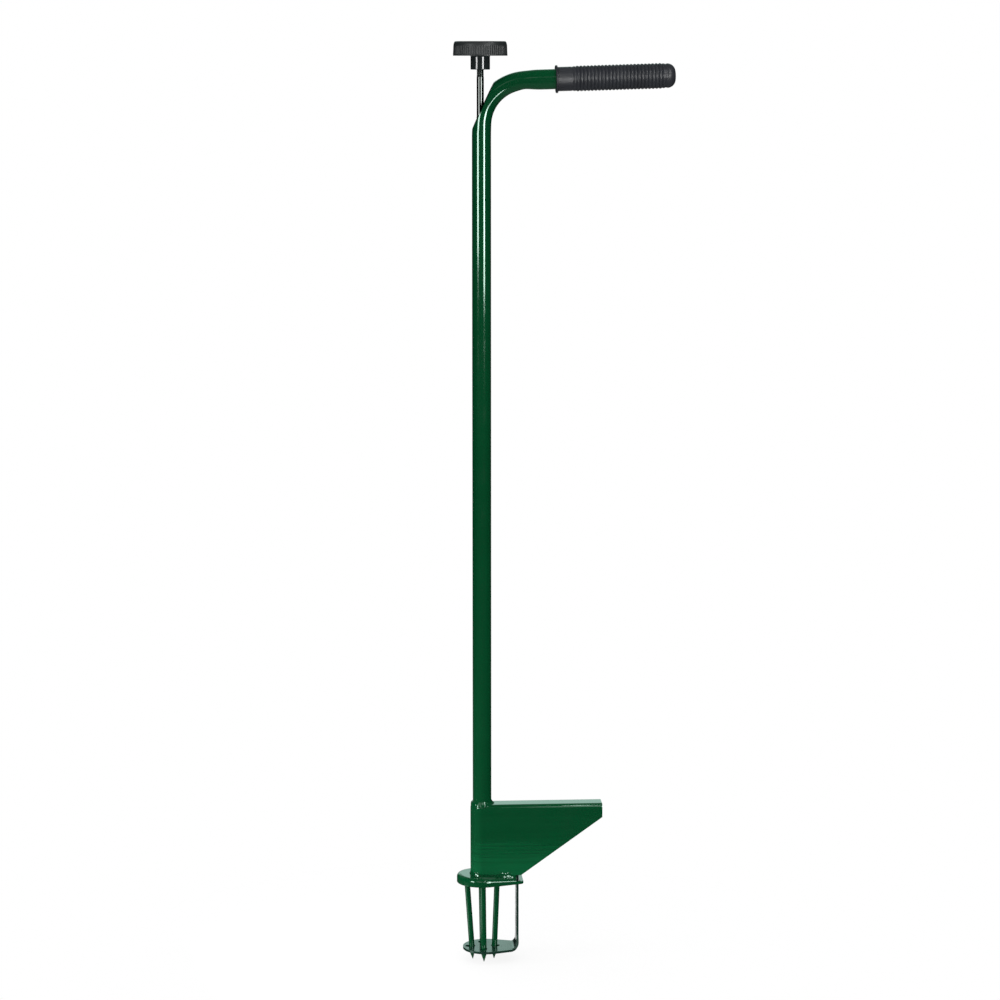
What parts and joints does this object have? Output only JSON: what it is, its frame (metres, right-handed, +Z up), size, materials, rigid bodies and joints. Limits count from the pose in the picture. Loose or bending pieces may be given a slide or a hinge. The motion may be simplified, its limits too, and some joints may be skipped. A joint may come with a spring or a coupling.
{
  "type": "weed puller",
  "caption": "Stand-up weed puller: bent steel tube with a ribbed handle, foot pedal, ring of pointed tines and a push-knob plunger that slides an ejector plate along the tines.",
  "frame": {"origin": "on the axis of the upright tube, at the level of the tine tips", "axes": "+Z up the tube, +X towards the handle and the foot pedal, +Y to the left of a user who faces along +X"},
  "size_m": [0.2328, 0.0568, 0.9852],
  "materials": {
    "green_paint": "gloss powder coat",
    "grip_rubber": "satin",
    "knob_plastic": "semi-gloss",
    "rod_chrome": "polished",
    "insert_brass": "turned",
    "bush_plastic": "moulded",
    "zinc_steel": "zinc plated"
  },
  "bodies": {
    "frame": {"main_tube": "green_paint", "handle_grip": "grip_rubber", "foot_pedal": "green_paint", "tine_plate": "green_paint", "tine_front": "green_paint", "tine_back": "green_paint", "tine_left": "green_paint", "tine_right": "green_paint", "tube_weld": "green_paint", "pedal_weld": "green_paint", "tine_welds": "green_paint", "rod_guide_bush": "bush_plastic"},
    "plunger": {"plunger_rod": "rod_chrome", "plunger_knob": "knob_plastic", "knob_insert": "insert_brass", "ejector": "green_paint", "link_arm": "zinc_steel", "arm_nut_upper": "zinc_steel", "arm_nut_lower": "zinc_steel", "arm_washer_upper": "zinc_steel", "arm_washer_lower": "zinc_steel", "leg_screws": "zinc_steel", "leg_nuts": "zinc_steel", "leg_washers": "zinc_steel"}
  },
  "joints": [
    {"name": "plunger_slide", "type": "slide", "parent": "frame", "child": "plunger", "axis": [0, 0, 1], "range_m": [0, 0.05]}
  ]
}
